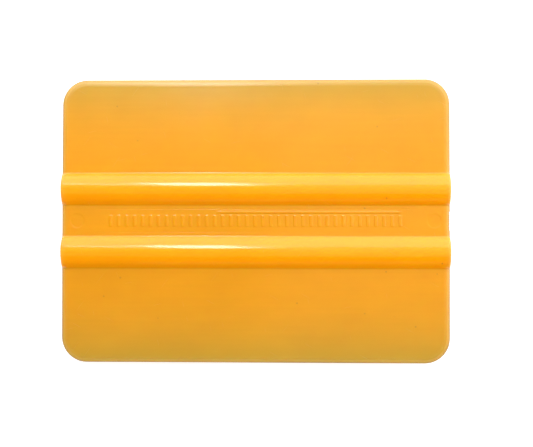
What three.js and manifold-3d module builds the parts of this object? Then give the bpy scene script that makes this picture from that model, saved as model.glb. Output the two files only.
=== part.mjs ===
/**
 * Hand squeegee applicator with two finger ribs, moulded in one piece.
 *
 * Millimetres, +Z up. The blade lies on the crests of its two back ribs, with the origin on that
 * surface under the blade's centre. X runs along the ribs, Y from one working edge to the other.
 * The front face (+Z) and the back face (-Z) carry the same pair of ribs.
 */
import * as THREE from 'three';
import { mergeVertices } from 'three/addons/utils/BufferGeometryUtils.js';
import Module from 'manifold-3d';

// Blade
const WIDTH = 101.6; // along the ribs, a 4 inch blade
const DEPTH = 74.2; // from working edge to working edge
const CORNER_RADIUS = 6.6; // of the outline, seen from above
const ROOT_THICKNESS = 2.4; // in the channel and at the outer feet of the ribs
const EDGE_THICKNESS = 0.9; // at the two working edges
const EDGE_ROUNDING = 0.4; // of the working edges, in the section

// Finger ribs, each a low circular arc in the section
const RIB_PITCH = 16.5; // between the two crests
const RIB_CHORD = 8.3; // width of the arc where it meets the face
const RIB_HEIGHT = 1.8; // crest above the face
const RIB_FILLET = 0.7; // where the arc runs out into the face

// Marks that the mould leaves
const EJECTOR_DIAMETER = 3.9;
const EJECTOR_DEPTH = 0.12;
const EJECTOR_OFFSET = 46.6; // from the centre, along the front channel
const PANEL_LENGTH = 87; // outline of the mould's marking insert
const PANEL_WIDTH = 6.1;
const PANEL_GROOVE_WIDTH = 0.16;
const PANEL_GROOVE_DEPTH = 0.08;
const GATE_LENGTH = 5.2; // trimmed gate on the right end face
const GATE_DEPTH = 0.2;

// Plain raised marking row and its rule
const BAR_ROW_LENGTH = 75.6; // from the first bar's centre to the last one's
const BAR_COUNT = 37;
const BAR_WIDTH = 0.5;
const BAR_HEIGHT = 2.6;
const BAR_RELIEF = 0.12;
const RULE_START = -8.9;
const RULE_LENGTH = 46.8;
const RULE_WIDTH = 0.3;
const RULE_OFFSET = 2.25; // from the channel's centre line

// Modelling
const ARC_STEPS = 5; // half the number of chords in one arc of an outline
const CLEARANCE = 1; // how far a cutter stands out of the body
const EMBED = 0.3; // how far a raised mark reaches into the body
const MERGE_DISTANCE = 1e-4;

const middleHeight = ROOT_THICKNESS / 2 + RIB_HEIGHT;
const totalThickness = 2 * middleHeight;
const channelFloor = middleHeight + ROOT_THICKNESS / 2;

const wasm = await Module();
wasm.setup();

/** A closed three.js geometry as a solid that can be joined and cut. */
function toSolid(geometry) {
  const bare = geometry.clone();
  bare.deleteAttribute('normal');
  bare.deleteAttribute('uv');
  const merged = mergeVertices(bare, MERGE_DISTANCE);
  return new wasm.Manifold(
    new wasm.Mesh({
      numProp: 3,
      vertProperties: new Float32Array(merged.attributes.position.array),
      triVerts: new Uint32Array(merged.index.array),
    }),
  );
}

/** A solid as a three.js geometry. */
function toGeometry(solid) {
  const { vertProperties, triVerts } = solid.getMesh();
  const geometry = new THREE.BufferGeometry();
  geometry.setAttribute('position', new THREE.BufferAttribute(vertProperties, 3));
  geometry.setIndex(new THREE.BufferAttribute(triVerts, 1));
  geometry.computeVertexNormals();
  return geometry;
}

/** A box given by its lowest and highest corners. */
function boxBetween(low, high) {
  const size = high.clone().sub(low);
  const centre = low.clone().add(high).multiplyScalar(0.5);
  const box = new THREE.BoxGeometry(size.x, size.y, size.z);
  box.translate(centre.x, centre.y, centre.z);
  return toSolid(box);
}

/**
 * Sizes of one rib's arc in the section, measured from the rib's centre line and from the face.
 * The fillet touches the arc at `meet` and the face at `foot`.
 */
function ribSection() {
  const half = RIB_CHORD / 2;
  const radius = (half * half + RIB_HEIGHT * RIB_HEIGHT) / (2 * RIB_HEIGHT);
  const centreHeight = RIB_HEIGHT - radius;
  const foot = Math.sqrt((radius + RIB_FILLET) ** 2 - (RIB_FILLET - centreHeight) ** 2);
  const meetAngle = Math.atan2(RIB_FILLET - centreHeight, foot);
  return { radius, centreHeight, foot, meetAngle };
}

/**
 * Adds one side of the section to the outline, going towards -Y on the front and, with side -1,
 * towards +Y on the back. The same turn by half a circle carries one side onto the other.
 */
function addFace(outline, side) {
  const { radius, centreHeight, foot, meetAngle } = ribSection();
  const face = ROOT_THICKNESS / 2;
  const turn = side > 0 ? 0 : Math.PI;
  const arc = (y, z, r, from, to, clockwise) => {
    outline.absarc(side * y, side * z, r, from + turn, to + turn, clockwise);
  };
  const edge = DEPTH / 2 - EDGE_ROUNDING;
  const edgeHeight = EDGE_THICKNESS / 2 - EDGE_ROUNDING;
  arc(edge, edgeHeight, EDGE_ROUNDING, 0, Math.PI / 2, false);
  for (const centre of [RIB_PITCH / 2, -RIB_PITCH / 2]) {
    arc(centre + foot, face + RIB_FILLET, RIB_FILLET, -Math.PI / 2, meetAngle - Math.PI, true);
    arc(centre, face + centreHeight, radius, meetAngle, Math.PI - meetAngle, false);
    arc(centre - foot, face + RIB_FILLET, RIB_FILLET, -meetAngle, -Math.PI / 2, true);
  }
  arc(-edge, edgeHeight, EDGE_ROUNDING, Math.PI / 2, Math.PI, false);
}

/** The ribbed, tapering section, extruded along X. */
function ribbedBar() {
  const outline = new THREE.Shape();
  addFace(outline, 1);
  addFace(outline, -1);
  outline.closePath();
  const bar = new THREE.ExtrudeGeometry(outline, {
    depth: WIDTH + 2 * CLEARANCE,
    curveSegments: ARC_STEPS,
    bevelEnabled: false,
  });
  bar.translate(0, middleHeight, -WIDTH / 2 - CLEARANCE);
  const alongX = new THREE.Matrix4().makeBasis(
    new THREE.Vector3(0, 1, 0),
    new THREE.Vector3(0, 0, 1),
    new THREE.Vector3(1, 0, 0),
  );
  bar.applyMatrix4(alongX);
  return toSolid(bar);
}

/** The blade's outline from above as a prism taller than the blade. */
function outlinePrism() {
  const x = WIDTH / 2 - CORNER_RADIUS;
  const y = DEPTH / 2 - CORNER_RADIUS;
  const outline = new THREE.Shape();
  const corners = [
    [x, y],
    [-x, y],
    [-x, -y],
    [x, -y],
  ];
  corners.forEach(([cornerX, cornerY], index) => {
    const from = (index * Math.PI) / 2;
    outline.absarc(cornerX, cornerY, CORNER_RADIUS, from, from + Math.PI / 2, false);
  });
  outline.closePath();
  const prism = new THREE.ExtrudeGeometry(outline, {
    depth: totalThickness + 2 * CLEARANCE,
    curveSegments: ARC_STEPS,
    bevelEnabled: false,
  });
  prism.translate(0, 0, -CLEARANCE);
  return toSolid(prism);
}

/** Shallow round dimples that the ejector pins leave at both ends of the front channel. */
function ejectorDimples() {
  const height = EJECTOR_DEPTH + CLEARANCE;
  const radius = EJECTOR_DIAMETER / 2;
  const sides = 6 * ARC_STEPS;
  return [-EJECTOR_OFFSET, EJECTOR_OFFSET].map((x) => {
    const pin = new THREE.CylinderGeometry(radius, radius, height, sides);
    pin.rotateX(Math.PI / 2);
    pin.translate(x, 0, channelFloor - EJECTOR_DEPTH + height / 2);
    return toSolid(pin);
  });
}

/** The two long witness lines of the marking insert, as fine grooves in the front channel. */
function insertGrooves() {
  return [-1, 1].map((side) => {
    const y = (side * PANEL_WIDTH) / 2;
    return boxBetween(
      new THREE.Vector3(-PANEL_LENGTH / 2, y - PANEL_GROOVE_WIDTH / 2, channelFloor - PANEL_GROOVE_DEPTH),
      new THREE.Vector3(PANEL_LENGTH / 2, y + PANEL_GROOVE_WIDTH / 2, channelFloor + CLEARANCE),
    );
  });
}

/** The recess left on the right end face where the gate was trimmed off. */
function gateScar() {
  return boxBetween(
    new THREE.Vector3(WIDTH / 2 - GATE_DEPTH, -GATE_LENGTH / 2, -CLEARANCE),
    new THREE.Vector3(WIDTH / 2 + CLEARANCE, GATE_LENGTH / 2, totalThickness + CLEARANCE),
  );
}

/** A raised mark on the front channel's floor. */
function raisedMark(x, y, width, height) {
  return boxBetween(
    new THREE.Vector3(x - width / 2, y - height / 2, channelFloor - EMBED),
    new THREE.Vector3(x + width / 2, y + height / 2, channelFloor + BAR_RELIEF),
  );
}

/** The row of equal bars, and the plain rule beside its right half. */
function raisedMarks() {
  const marks = [];
  for (let index = 0; index < BAR_COUNT; index += 1) {
    const x = (index / (BAR_COUNT - 1) - 0.5) * BAR_ROW_LENGTH;
    marks.push(raisedMark(x, 0, BAR_WIDTH, BAR_HEIGHT));
  }
  marks.push(raisedMark(RULE_START + RULE_LENGTH / 2, RULE_OFFSET, RULE_LENGTH, RULE_WIDTH));
  return marks;
}

/** The whole moulding. */
function squeegeeBlade() {
  let body = ribbedBar().intersect(outlinePrism());
  for (const cutter of [...ejectorDimples(), ...insertGrooves(), gateScar()]) {
    body = body.subtract(cutter);
  }
  for (const mark of raisedMarks()) {
    body = body.add(mark);
  }
  const plastic = new THREE.MeshStandardMaterial({
    color: 0xfdae26,
    roughness: 0.35,
    metalness: 0,
  });
  const mesh = new THREE.Mesh(toGeometry(body), plastic);
  mesh.name = 'squeegee_blade';
  return mesh;
}

const applicator = new THREE.Group();
applicator.add(squeegeeBlade());

export default applicator;
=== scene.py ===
"""Looks of the two-rib squeegee applicator: its fine mesh, its moulded plastic, and a plain pale studio.

Lengths are in mm, and turn into Blender's metres where a mesh, lamp or camera is made.
"""

import math

import bpy
import numpy as np
from mathutils import Matrix, Vector


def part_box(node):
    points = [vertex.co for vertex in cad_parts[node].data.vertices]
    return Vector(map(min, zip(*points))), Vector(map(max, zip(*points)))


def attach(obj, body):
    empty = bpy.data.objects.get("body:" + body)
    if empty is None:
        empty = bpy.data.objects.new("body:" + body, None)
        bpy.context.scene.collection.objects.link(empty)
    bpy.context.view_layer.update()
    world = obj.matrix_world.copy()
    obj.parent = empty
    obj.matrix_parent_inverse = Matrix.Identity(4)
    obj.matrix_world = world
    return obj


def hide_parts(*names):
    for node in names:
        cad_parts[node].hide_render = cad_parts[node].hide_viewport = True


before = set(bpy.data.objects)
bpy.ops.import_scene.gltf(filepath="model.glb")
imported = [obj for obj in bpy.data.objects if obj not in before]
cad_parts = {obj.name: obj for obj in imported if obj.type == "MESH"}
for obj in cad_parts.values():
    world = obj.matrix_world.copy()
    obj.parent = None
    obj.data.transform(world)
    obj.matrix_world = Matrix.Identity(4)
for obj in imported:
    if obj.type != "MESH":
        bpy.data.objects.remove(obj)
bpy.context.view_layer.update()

MM = 0.001
NODE = "squeegee_blade"
LOW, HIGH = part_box(NODE)
WIDTH, DEPTH, TOTAL_THICKNESS = (HIGH - LOW) / MM
MID_HEIGHT = (LOW.z + HIGH.z) / 2 / MM

# The blade's section, as in the CAD model
CORNER_RADIUS = 6.6
ROOT_THICKNESS = 2.4
EDGE_THICKNESS = 0.9
RIB_PITCH = 16.5
RIB_CHORD = 8.3
RIB_HEIGHT = (TOTAL_THICKNESS - ROOT_THICKNESS) / 2
RIB_FILLET = 0.7

# The soft rounding all round the outline, an ellipse in the section
RIM_WIDTH = 2.2
RIB_RIM_WIDTH = 0.7
RIB_RIM_START = 0.4  # height of a rib at which its end's rounding has become that narrow
RIM_SHARE = 0.72  # of half the blade's thickness

# What the mould and some use leave
WARP = 0.012  # height of the slow waves in the wings
WARP_FADE = 8.0  # from a rib's foot to where a wing has its full warp
PARTING_RIDGE = 0.03
PARTING_HALF_WIDTH = 0.04
EJECTOR_RADIUS = 1.95
EJECTOR_DEPTH = 0.06
EJECTOR_SLOPE = 0.2  # width of the dimple's sloped side
EJECTOR_OFFSET = 46.6
PANEL_LENGTH = 87.0
PANEL_WIDTH = 6.1
GROOVE_WIDTH = 0.22
GROOVE_DEPTH = 0.02
GROOVE_FADE = 3.0  # length over which a line runs out at its ends
GATE_LENGTH = 5.2
GATE_DEPTH = 0.2
GATE_SLOPE = 0.3
GATE_REACH = 1.2  # how far in from the end face the mesh makes room for the gate scar
GATE_FADE = 0.8

# The plain raised marking row
BAR_PITCH = 2.1
BAR_COUNT = 37
BAR_WIDTH = 0.5
BAR_LENGTH = 2.6
RULE_START = -8.9
RULE_LENGTH = 46.8
RULE_WIDTH = 0.3
RULE_OFFSET = 2.25
RELIEF = 0.11
RELIEF_SLOPE = 0.25  # width of a mark's sloped side

# The mesh: widest spaces between rows or columns, and numbers of steps round curves
FINE_SPACE = 0.19
RIM_SPACE = 0.6
END_SPACE = 1.0
BAR_SPACE = 1.4
WING_SPACE = 1.8
FOOT_STRIP = 0.1  # width of the rows beside the ribs' feet
RIM_STRIP = 0.12  # width of the rows beside the rim
DIMPLE_MARGIN = 0.1  # from an ejector dimple to the fine columns' start
RIB_STEPS = 22
FILLET_STEPS = 5
RIM_STEPS = 11
WALL_SHARES = (0.15, 0.6)  # places of the wall's rings between the rounding and the parting line
SHARP_ANGLE = 20.0  # degrees, between two faces that aren't shaded as one

# The plastic's base colours, linear
FLAT_COLOUR = (0.65, 0.266, 0.002, 1)
THIN_COLOUR = (0.425, 0.256, 0.02, 1)
# Deeper orange where the plastic is thick, and brighter than the flats as painted light that stands in for
# light scattered inside the ribs
RIB_DEEP_AND_LIT_COLOUR = (0.87, 0.31, 0.0005, 1)
# Painted glow: the pale colour towards the outline stands in for light shining through and off the thin
# rounded edge
RIM_GLOW_COLOUR = (0.62, 0.40, 0.10, 1)
SPECK_COLOUR = (0.12, 0.06, 0.02, 1)
# Painted shade: the dark band down the outline's rounding stands in for the shade along the edge
EDGE_SHADE_COLOUR = (0.13, 0.075, 0.03, 1)

# The plastic's finish
FLAT_ROUGHNESS = 0.18
RIB_ROUGHNESS = 0.13
RIM_ROUGHNESS = 0.4  # added where the rim is palest
SCRATCH_ROUGHNESS = 0.2  # added in a scratch
SCRATCH_DEPTH = 0.02
GRAIN_HEIGHT = 0.0006
SCATTER_DISTANCE = 1.2


def rib_arc():
    """Radius and centre height of a rib's arc, and how far its fillet's foot and upper end are out."""
    half = RIB_CHORD / 2
    radius = (half**2 + RIB_HEIGHT**2) / (2 * RIB_HEIGHT)
    centre = RIB_HEIGHT - radius
    foot = math.sqrt((radius + RIB_FILLET) ** 2 - (RIB_FILLET - centre) ** 2)
    meet = foot * radius / (radius + RIB_FILLET)
    return radius, centre, foot, meet


RIB_RADIUS, RIB_CENTRE, RIB_FOOT, RIB_MEET = rib_arc()
INNER_FOOT = RIB_PITCH / 2 - RIB_FOOT
OUTER_FOOT = RIB_PITCH / 2 + RIB_FOOT
OUTLINE_X = WIDTH / 2 - PARTING_RIDGE
OUTLINE_Y = DEPTH / 2 - PARTING_RIDGE
CORE_X = WIDTH / 2 - CORNER_RADIUS
CORE_Y = DEPTH / 2 - CORNER_RADIUS


def ramp(value):
    """0 below 0, 1 above 1, and smooth in between."""
    t = np.clip(value, 0, 1)
    return t * t * (3 - 2 * t)


def half_thickness(y):
    """Half the blade's thickness, ribs included, at distance y from the centre line."""
    y = np.abs(y)
    taper = (ROOT_THICKNESS - EDGE_THICKNESS) / 2 / (DEPTH / 2 - OUTER_FOOT)
    height = ROOT_THICKNESS / 2 - taper * np.maximum(y - OUTER_FOOT, 0)
    across = np.abs(y - RIB_PITCH / 2)
    arc = RIB_CENTRE + np.sqrt(np.maximum(RIB_RADIUS**2 - across**2, 0))
    fillet = RIB_FILLET - np.sqrt(np.maximum(RIB_FILLET**2 - (RIB_FOOT - across) ** 2, 0))
    rib = np.where(across < RIB_MEET, arc, np.where(across < RIB_FOOT, fillet, 0))
    return height + rib


def raised(distance, half_size):
    """1 within half a mark's size of its middle, and falling to 0 over its sloped side."""
    return ramp(1 + (half_size - distance) / RELIEF_SLOPE)


def marking_relief(x, y):
    """Height of the plain bars and the rule above the front channel's floor."""
    last = (BAR_COUNT - 1) / 2
    from_bar = np.abs(x - BAR_PITCH * np.clip(np.round(x / BAR_PITCH), -last, last))
    bars = raised(from_bar, BAR_WIDTH / 2) * raised(np.abs(y), BAR_LENGTH / 2)
    from_rule = np.abs(x - RULE_START - RULE_LENGTH / 2)
    rule = raised(from_rule, RULE_LENGTH / 2) * raised(np.abs(y - RULE_OFFSET), RULE_WIDTH / 2)
    return RELIEF * np.maximum(bars, rule)


def mould_marks(x, y):
    """Depth of the ejector dimples and of the marking insert's two long lines in the front channel."""
    from_pin = np.hypot(np.abs(x) - EJECTOR_OFFSET, y)
    dimple = EJECTOR_DEPTH * ramp((EJECTOR_RADIUS - from_pin) / EJECTOR_SLOPE)
    groove = GROOVE_DEPTH * ramp(1 - np.abs(np.abs(y) - PANEL_WIDTH / 2) / (GROOVE_WIDTH / 2))
    return np.maximum(dimple, groove * ramp((PANEL_LENGTH / 2 - np.abs(x)) / GROOVE_FADE))


def waviness(x, y):
    """The wings' slight warp in two crossing waves, as both faces' shift in height. It is 0 at the ribs."""
    wave = np.sin(x / 17 + 0.6) * np.sin(y / 11 + 1.1) + 0.5 * np.sin(x / 7.3 + y / 9.1)
    return WARP * wave * ramp((np.abs(y) - OUTER_FOOT) / WARP_FADE)


def spaced(stops, widest):
    """The stops, with equal spaces of at most the widest between each two."""
    values = [stops[0]]
    for start, end in zip(stops, stops[1:]):
        count = max(1, math.ceil((end - start) / widest - 1e-6))
        values.extend(np.linspace(start, end, count + 1)[1:])
    return values


def mirrored(values):
    """Values from 0 up, with their negatives in front."""
    return np.array([-v for v in reversed(values) if v > 0] + list(values))


def rib_rows():
    """Places of the rows across a rib, from its inner foot to its outer one, equally spaced by angle."""
    fillet_angle = math.acos((RIB_FOOT - RIB_MEET) / RIB_FILLET)
    turns = np.linspace(0, math.pi / 2 - fillet_angle, FILLET_STEPS + 1)
    fillet = [RIB_FOOT - RIB_FILLET * math.sin(angle) for angle in turns]
    arc_angle = math.asin(RIB_MEET / RIB_RADIUS)
    arc = [RIB_RADIUS * math.sin(angle) for angle in np.linspace(-arc_angle, arc_angle, RIB_STEPS + 1)]
    return [-d for d in fillet[:-1]] + arc + fillet[-2::-1]


def row_positions():
    """Y of the mesh's rows: fine in the channel, by angle on the ribs, and wide on the wings."""
    bar_end = BAR_LENGTH / 2
    panel = PANEL_WIDTH / 2
    rule = (RULE_OFFSET - RULE_WIDTH / 2, RULE_OFFSET + RULE_WIDTH / 2)
    rim = OUTLINE_Y - RIM_WIDTH
    stops = [0, bar_end, bar_end + RELIEF_SLOPE, rule[0] - RELIEF_SLOPE, *rule, rule[1] + RELIEF_SLOPE]
    stops += [panel - GROOVE_WIDTH / 2, panel, panel + GROOVE_WIDTH / 2, INNER_FOOT - FOOT_STRIP, INNER_FOOT]
    rows = spaced(stops, FINE_SPACE)
    rows += [RIB_PITCH / 2 + across for across in rib_rows()[1:]]
    rows += spaced([OUTER_FOOT, OUTER_FOOT + FOOT_STRIP, CORE_Y], WING_SPACE)[1:]
    rows += spaced([CORE_Y, rim - RIM_STRIP, rim], RIM_SPACE)[1:]
    return mirrored(rows)


def column_positions():
    """X of the mesh's columns: on each bar's edges, fine at the ejector dimples, and wide elsewhere."""
    stops = [0.0]
    for index in range((BAR_COUNT + 1) // 2):
        centre = index * BAR_PITCH
        edges = [BAR_WIDTH / 2, BAR_WIDTH / 2 + RELIEF_SLOPE]
        stops += [centre - e for e in reversed(edges) if centre > 0]
        stops += [centre + e for e in edges]
    columns = spaced(stops, BAR_SPACE)
    rim = OUTLINE_X - RIM_WIDTH
    dimple = EJECTOR_OFFSET - EJECTOR_RADIUS - DIMPLE_MARGIN
    columns += spaced([columns[-1], PANEL_LENGTH / 2, dimple], END_SPACE)[1:]
    columns += spaced([dimple, rim], FINE_SPACE)[1:]
    return mirrored(columns)


def round_corners(x, y):
    """Maps the grid's square corners onto the quarter discs of the rounded outline."""
    reach_x = OUTLINE_X - RIM_WIDTH - CORE_X
    reach_y = OUTLINE_Y - RIM_WIDTH - CORE_Y
    u = np.maximum(np.abs(x) - CORE_X, 0) / reach_x
    v = np.maximum(np.abs(y) - CORE_Y, 0) / reach_y
    new_x = np.where(u > 0, CORE_X + reach_x * u * np.sqrt(1 - v**2 / 2), np.abs(x))
    new_y = np.where(v > 0, CORE_Y + reach_y * v * np.sqrt(1 - u**2 / 2), np.abs(y))
    return np.sign(x) * new_x, np.sign(y) * new_y


def outward(x, y):
    """Unit vector out of the blade's outline, for points on it."""
    dx = x - np.clip(x, -CORE_X, CORE_X)
    dy = y - np.clip(y, -CORE_Y, CORE_Y)
    length = np.hypot(dx, dy)
    return dx / length, dy / length


def gate_scar(x, y, z):
    """How far the torn surface of the trimmed gate on the right end face stands back at a point."""
    inward = (x - WIDTH / 2 + GATE_REACH) / GATE_FADE
    window = ramp((GATE_LENGTH / 2 - np.abs(y)) / GATE_SLOPE) * ramp(inward)
    torn = 0.7 + 0.3 * np.sin(y * 9.1 + z * 4.3) * np.sin(z * 7.7 - y * 3.1)
    return GATE_DEPTH * window * torn


def rim_curve(half):
    """The rounding's steps from a face to the edge wall, as distances outward and away from the face.

    It is as wide as the rim on the flat faces and narrow at the ribs' ends.
    """
    flat = np.minimum(half, ROOT_THICKNESS / 2)
    rib = np.clip((half - flat) / RIB_RIM_START, 0, 1)
    width = RIM_WIDTH + rib * (RIB_RIM_WIDTH - RIM_WIDTH)
    curve = []
    for angle in np.linspace(0, math.pi / 2, RIM_STEPS + 1)[1:]:
        out = RIM_WIDTH * math.sin(angle)
        rounded = np.clip(1 - (RIM_WIDTH - out) / width, 0, 1)
        curve.append((out, RIM_SHARE * flat * (1 - np.sqrt(1 - rounded**2))))
    return curve


def edge_rings(half, middle):
    """The rings of vertices round the edge, front to back, as distances outward and heights.

    They go down the front's rounding and the wall to the fine parting ridge, and then to the back.
    """
    curve = rim_curve(half)
    drop = curve[-1][1]
    top = half + middle
    bottom = middle - half
    ridge_top = middle + PARTING_HALF_WIDTH
    ridge_bottom = middle - PARTING_HALF_WIDTH
    rings = [(out, top - down) for out, down in curve]
    rings += [(RIM_WIDTH, top - drop + share * (ridge_top - top + drop)) for share in WALL_SHARES]
    rings += [(RIM_WIDTH, ridge_top), (RIM_WIDTH + PARTING_RIDGE, middle), (RIM_WIDTH, ridge_bottom)]
    for share in reversed(WALL_SHARES):
        rings.append((RIM_WIDTH, bottom + drop + share * (ridge_bottom - bottom - drop)))
    rings += [(out, bottom + up) for out, up in reversed(curve)]
    return rings


def quad_band(first, second):
    """Quads between two rings of equally many vertices."""
    return np.stack([first, second, np.roll(second, -1), np.roll(first, -1)], -1)


def blade_points():
    """Vertices and faces of the whole blade, in mm about the middle of its thickness."""
    grid_x, grid_y = np.meshgrid(column_positions(), row_positions())
    x, y = round_corners(grid_x, grid_y)
    half = half_thickness(y)
    sway = waviness(x, y)
    front = half + sway + marking_relief(x, y) - mould_marks(x, y)
    back = -half + sway
    index = np.arange(x.size).reshape(x.shape)
    quads = np.stack([index[:-1, :-1], index[:-1, 1:], index[1:, 1:], index[1:, :-1]], -1).reshape(-1, 4)
    loop = np.concatenate([index[0, :-1], index[:-1, -1], index[-1, :0:-1], index[:0:-1, 0]])
    points = [np.stack([x, y, front], -1).reshape(-1, 3)]
    faces = [quads]

    edge_x, edge_y = x.ravel()[loop], y.ravel()[loop]
    normal_x, normal_y = outward(edge_x, edge_y)
    previous = loop
    start = x.size
    for out, height in edge_rings(half.ravel()[loop], sway.ravel()[loop]):
        ring = start + np.arange(len(loop))
        points.append(np.stack([edge_x + out * normal_x, edge_y + out * normal_y, height], -1))
        faces.append(quad_band(previous, ring))
        previous = ring
        start += len(loop)
    points.append(np.stack([x, y, back], -1).reshape(-1, 3))
    faces.append(quad_band(previous, loop + start))
    faces.append(quads[:, ::-1] + start)
    points = np.concatenate(points)
    points[:, 0] -= gate_scar(*points.T)
    return points, np.concatenate(faces)


def inset(points):
    """Each point's distance inside the blade's outline, up to the corner radius."""
    dx = np.maximum(np.abs(points[:, 0]) - CORE_X, 0)
    dy = np.maximum(np.abs(points[:, 1]) - CORE_Y, 0)
    return CORNER_RADIUS - PARTING_RIDGE - np.hypot(dx, dy)


def edge_drop(points):
    """How far down the outline's rounding each point lies: 0 on a face, and 1 where the wall starts."""
    half = half_thickness(points[:, 1])
    return (half - np.abs(points[:, 2])) / (RIM_SHARE * np.minimum(half, ROOT_THICKNESS / 2))


def add_attribute(mesh, name, values):
    """Stores one number for each vertex under a name that materials read."""
    attribute = mesh.attributes.new(name, "FLOAT", "POINT")
    attribute.data.foreach_set("value", values.astype(np.float32))


def squeegee_blade():
    """The whole moulding as one closed mesh of quads."""
    points, faces = blade_points()
    mesh = bpy.data.meshes.new("moulded_blade")
    place = (points + np.array([0, 0, MID_HEIGHT])) * MM
    mesh.from_pydata(place.tolist(), [], faces.tolist())
    mesh.shade_smooth()
    mesh.set_sharp_from_angle(angle=math.radians(SHARP_ANGLE))
    add_attribute(mesh, "half_thickness", half_thickness(points[:, 1]))
    add_attribute(mesh, "inset", inset(points))
    add_attribute(mesh, "edge_drop", edge_drop(points))
    mesh.validate()
    mesh.update()
    blade = bpy.data.objects.new("moulded_blade", mesh)
    bpy.context.scene.collection.objects.link(blade)
    return blade


def add_node(tree, kind, inputs=None, **settings):
    """Adds a shader node. Each input is a socket to link or a constant to set."""
    node = tree.nodes.new("ShaderNode" + kind)
    for name, value in settings.items():
        setattr(node, name, value)
    for name, value in (inputs or {}).items():
        if isinstance(value, bpy.types.NodeSocket):
            tree.links.new(value, node.inputs[name])
        else:
            node.inputs[name].default_value = value
    return node


def new_material(name):
    """An empty node material with its Principled shader."""
    material = bpy.data.materials.new(name)
    material.use_nodes = True
    tree = material.node_tree
    tree.nodes.clear()
    shader = add_node(tree, "BsdfPrincipled")
    add_node(tree, "OutputMaterial", {"Surface": shader.outputs["BSDF"]})
    return material, tree, shader


def stored(tree, name):
    """A number that the mesh stores for each vertex."""
    return add_node(tree, "Attribute", attribute_name=name).outputs["Fac"]


def mixed(tree, factor, first, second, blend="MIX"):
    """The colour that lies between two colours by a factor."""
    inputs = {0: factor, 6: first, 7: second}
    return add_node(tree, "Mix", inputs, data_type="RGBA", blend_type=blend).outputs[2]


def ranged(tree, value, low, high, to_low=0.0, to_high=1.0):
    """A value's place between low and high, clamped, as a number between to_low and to_high."""
    inputs = {"Value": value, "From Min": low, "From Max": high, "To Min": to_low, "To Max": to_high}
    return add_node(tree, "MapRange", inputs).outputs["Result"]


def combined(tree, operation, first, second):
    """A sum, product or other operation on two values."""
    return add_node(tree, "Math", {0: first, 1: second}, operation=operation).outputs["Value"]


def scaled_place(tree, size, angle=0.0):
    """Object coordinates divided by a feature size along X, Y and Z, after a turn about Z."""
    place = add_node(tree, "TexCoord").outputs["Object"]
    turned = add_node(tree, "Mapping", {"Vector": place, "Rotation": (0, 0, angle)})
    inputs = {"Vector": turned.outputs["Vector"], "Scale": [1 / (length * MM) for length in size]}
    return add_node(tree, "Mapping", inputs).outputs["Vector"]


def noise(tree, size, detail):
    """Smooth noise of about 0.5 with features of a size along X, Y and Z."""
    inputs = {"Vector": scaled_place(tree, size), "Scale": 1.0, "Detail": detail}
    return add_node(tree, "TexNoise", inputs).outputs["Fac"]


def scattered(tree, length, width, share, angle=0.0):
    """Sparse spots or strokes, seen from above: 1 in their middle, in a share of the cells."""
    size = (length, width, 1000)
    inputs = {"Vector": scaled_place(tree, size, angle), "Scale": 1.0}
    cells = add_node(tree, "TexVoronoi", inputs, voronoi_dimensions="2D")
    chosen = add_node(tree, "SeparateColor", {"Color": cells.outputs["Color"]}).outputs["Red"]
    kept = ranged(tree, chosen, 1 - share, 1 - share + 0.001)
    return combined(tree, "MULTIPLY", kept, ranged(tree, cells.outputs["Distance"], 0.28, 0.10))


def rib_share(tree):
    """0 on the flat faces and 1 on the ribs."""
    return ranged(tree, stored(tree, "half_thickness"), ROOT_THICKNESS / 2, ROOT_THICKNESS / 2 + 0.25)


def painted_rim_glow_and_matt(tree, rib):
    """How matt the plastic gets towards the outline, and how strongly a pale glow of the thin rounded edge
    is painted into its colour there, which is less at the ribs' ends.
    """
    edge = combined(tree, "POWER", ranged(tree, stored(tree, "inset"), RIM_WIDTH, 0), 2.0)
    return combined(tree, "MULTIPLY", edge, ranged(tree, rib, 0, 1, 0.7, 0.3))


def scratch_share(tree):
    """1 in the middle of fine, sparse scratches in four directions."""
    scratches = scattered(tree, 7, 0.16, 0.006, 0.5)
    for angle, length in ((1.3, 4), (2.2, 9), (2.9, 6)):
        more = scattered(tree, length, 0.14, 0.004, angle)
        scratches = combined(tree, "MAXIMUM", scratches, more)
    return scratches


def plastic_colour(tree, rib, pale):
    """Paler where the blade is thin and a little cloudy, with specks. On the ribs deeper orange and also
    brighter, as painted light; a painted pale glow towards the outline; painted shade as a dark band down
    the edge's rounding.
    """
    thin = ranged(tree, stored(tree, "half_thickness"), ROOT_THICKNESS / 2, EDGE_THICKNESS / 2)
    colour = mixed(tree, combined(tree, "POWER", thin, 2.3), FLAT_COLOUR, THIN_COLOUR)
    # The ribs' colour: partly the thick plastic's own deeper orange, partly painted light that brightens
    # them
    colour = mixed(tree, rib, colour, RIB_DEEP_AND_LIT_COLOUR)
    # Painted glow: the colour towards the outline is mixed towards pale yellow
    colour = mixed(tree, pale, colour, RIM_GLOW_COLOUR)
    clouds = ranged(tree, noise(tree, (14, 9, 9), 3), 0.3, 0.7, 0.965, 1.035)
    streaks = ranged(tree, noise(tree, (30, 0.9, 4), 3), 0.3, 0.7, 0.985, 1.015)
    colour = mixed(tree, 1.0, colour, combined(tree, "MULTIPLY", clouds, streaks), "MULTIPLY")
    specks = scattered(tree, 1.1, 1.1, 0.0025)
    colour = mixed(tree, combined(tree, "MULTIPLY", specks, 0.35), colour, SPECK_COLOUR)
    drop = stored(tree, "edge_drop")
    # Painted shade: a dark band part way down the outline's rounding, mixed in at half strength
    painted_edge_shade = combined(tree, "MULTIPLY", ranged(tree, drop, 0.33, 0.62), ranged(tree, drop, 1.15, 1.0))
    return mixed(tree, combined(tree, "MULTIPLY", painted_edge_shade, 0.5), colour, EDGE_SHADE_COLOUR)


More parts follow.
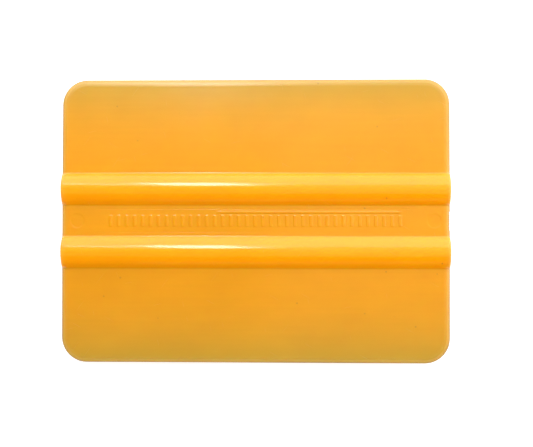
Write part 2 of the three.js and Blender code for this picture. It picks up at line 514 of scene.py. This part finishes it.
def plastic_roughness(tree, rib, pale, scratches):
    """Glossiest on the ribs, uneven by a little, and duller at the rim and in the scratches."""
    roughness = ranged(tree, rib, 0, 1, FLAT_ROUGHNESS, RIB_ROUGHNESS)
    worn = ranged(tree, noise(tree, (9, 5, 5), 2), 0.35, 0.65, -0.01, 0.01)
    dull_rim = combined(tree, "MULTIPLY", pale, RIM_ROUGHNESS)
    dull_scratches = combined(tree, "MULTIPLY", scratches, SCRATCH_ROUGHNESS)
    for more in (worn, dull_rim, dull_scratches):
        roughness = combined(tree, "ADD", roughness, more)
    return roughness


def plastic_normal(tree, scratches):
    """The surface's direction, with the scratches and a very fine grain."""
    grain = ranged(tree, noise(tree, (0.5, 0.5, 0.5), 1), 0, 1, 0, GRAIN_HEIGHT)
    height = combined(tree, "ADD", grain, combined(tree, "MULTIPLY", scratches, -SCRATCH_DEPTH))
    return add_node(tree, "Bump", {"Height": height, "Distance": MM, "Strength": 1.0}).outputs["Normal"]


def moulded_plastic():
    """Satin yellow-orange plastic that lets a little light through."""
    material, tree, shader = new_material("moulded_plastic")
    rib = rib_share(tree)
    pale = painted_rim_glow_and_matt(tree, rib)
    scratches = scratch_share(tree)
    tree.links.new(plastic_colour(tree, rib, pale), shader.inputs["Base Color"])
    tree.links.new(plastic_roughness(tree, rib, pale, scratches), shader.inputs["Roughness"])
    tree.links.new(plastic_normal(tree, scratches), shader.inputs["Normal"])
    shader.subsurface_method = "RANDOM_WALK"
    shader.inputs["Subsurface Weight"].default_value = 0.5
    shader.inputs["Subsurface Radius"].default_value = (1.0, 0.4, 0.1)
    shader.inputs["Subsurface Scale"].default_value = SCATTER_DISTANCE * MM
    return material


def pale_surface(name, grey, glow):
    """Matt, plain material that gives off some light of its own."""
    material, _, shader = new_material(name)
    shader.inputs["Base Color"].default_value = (grey, grey, grey, 1)
    shader.inputs["Roughness"].default_value = 0.9
    shader.inputs["Emission Color"].default_value = (1, 1, 1, 1)
    shader.inputs["Emission Strength"].default_value = glow
    return material


def add_floor():
    """A wide flat table under the blade, which glows a little, as a light table does."""
    half = 3000 * MM
    mesh = bpy.data.meshes.new("table")
    corners = [(-half, -half), (half, -half), (half, half), (-half, half)]
    mesh.from_pydata([(x, y, LOW.z) for x, y in corners], [], [(0, 1, 2, 3)])
    mesh.materials.append(pale_surface("pale_table", 0.8, 0.5))
    table = bpy.data.objects.new("table", mesh)
    bpy.context.scene.collection.objects.link(table)


def add_backdrop():
    """A plain dome round the table. It is only the ground of the picture, and neither lights nor shades."""
    bpy.ops.mesh.primitive_uv_sphere_add(segments=48, ring_count=24, radius=2500 * MM)
    dome = bpy.context.object
    dome.name = "backdrop"
    dome.data.materials.append(pale_surface("pale_backdrop", 0.0, 1.0))
    for kind in ("diffuse", "glossy", "transmission", "volume_scatter", "shadow"):
        setattr(dome, "visible_" + kind, False)


def add_softbox(name, place, target, size, radiance):
    """A rectangular lamp at place, facing target, that only shows in what it lights."""
    lamp = bpy.data.lights.new(name, "AREA")
    lamp.shape = "RECTANGLE"
    lamp.size, lamp.size_y = size[0] * MM, size[1] * MM
    lamp.energy = radiance * math.pi * lamp.size * lamp.size_y
    softbox = bpy.data.objects.new(name, lamp)
    softbox.location = Vector(place) * MM
    facing = Vector(target) * MM - softbox.location
    softbox.rotation_euler = facing.to_track_quat("-Z", "Y").to_euler()
    softbox.visible_camera = False
    bpy.context.scene.collection.objects.link(softbox)


def add_canopy():
    """Four rows of dim panels overhead, brightest at the far edge, and dimmer on the left than the right."""
    height = 430
    depth = 90
    far_edge = 190
    for index, (left, right) in enumerate(((0.5, 0.85), (0.35, 0.65), (0.2, 0.45), (0.28, 0.42))):
        y = far_edge - depth * (index + 0.5)
        add_softbox(f"canopy_left_{index}", (-160, y, height), (-160, y, 0), (320, depth), left)
        add_softbox(f"canopy_right_{index}", (220, y, height), (220, y, 0), (440, depth), right)


def add_lights():
    """A bright screen with a dim foot behind the far edge, a screen on the right, two key lamps and fill."""
    add_softbox("screen", (120, 125, 144), (120, 0, 144), (620, 240), 2.25)
    add_softbox("screen_foot", (120, 125, 12), (120, 0, 12), (620, 24), 0.6)
    add_softbox("side_screen", (380, 40, 160), (0, 40, 160), (480, 320), 1.4)
    add_softbox("key", (-98, 353, 650), (0, 0, 0), (110, 200), 16)
    add_softbox("small_key", (-234, 353, 650), (0, 0, 0), (20, 150), 9)
    add_canopy()
    add_softbox("front_card", (60, -210, 140), (0, 0, 0), (300, 60), 0.15)


def add_world():
    """An even white sky, which the blade's gloss doesn't mirror."""
    world = bpy.data.worlds.new("studio")
    world.use_nodes = True
    background = world.node_tree.nodes["Background"]
    background.inputs["Color"].default_value = (1, 1, 1, 1)
    background.inputs["Strength"].default_value = 0.65
    world.cycles_visibility.glossy = False
    bpy.context.scene.world = world


def add_camera():
    """Nearly straight down on the front face, with the far edge at the top."""
    distance = 195.0
    frame_width = 138.9  # of what the camera sees at the target's distance
    roll = math.radians(0.065)
    target = Vector((3.04, -0.7, MID_HEIGHT + ROOT_THICKNESS / 2)) * MM
    to_the_right, nearer = 4.5, 2.6  # how far the camera is from straight above the target
    place = target + Vector((to_the_right, -nearer, distance)) * MM
    data = bpy.data.cameras.new("camera")
    data.sensor_width = 36
    data.lens = data.sensor_width * distance / frame_width
    data.clip_start = 10 * MM
    camera = bpy.data.objects.new("camera", data)
    forward = (target - place).normalized()
    right = forward.cross(Vector((-math.sin(roll), math.cos(roll), 0))).normalized()
    up = right.cross(forward)
    rotation = Matrix((right, up, -forward)).transposed()
    camera.matrix_world = Matrix.Translation(place) @ rotation.to_4x4()
    bpy.context.scene.collection.objects.link(camera)
    bpy.context.scene.camera = camera


add_camera()
blade = squeegee_blade()
blade.data.materials.append(moulded_plastic())
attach(blade, "root")
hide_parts(NODE)
add_floor()
add_backdrop()
add_lights()
add_world()
bpy.context.scene.view_settings.view_transform = "Standard"
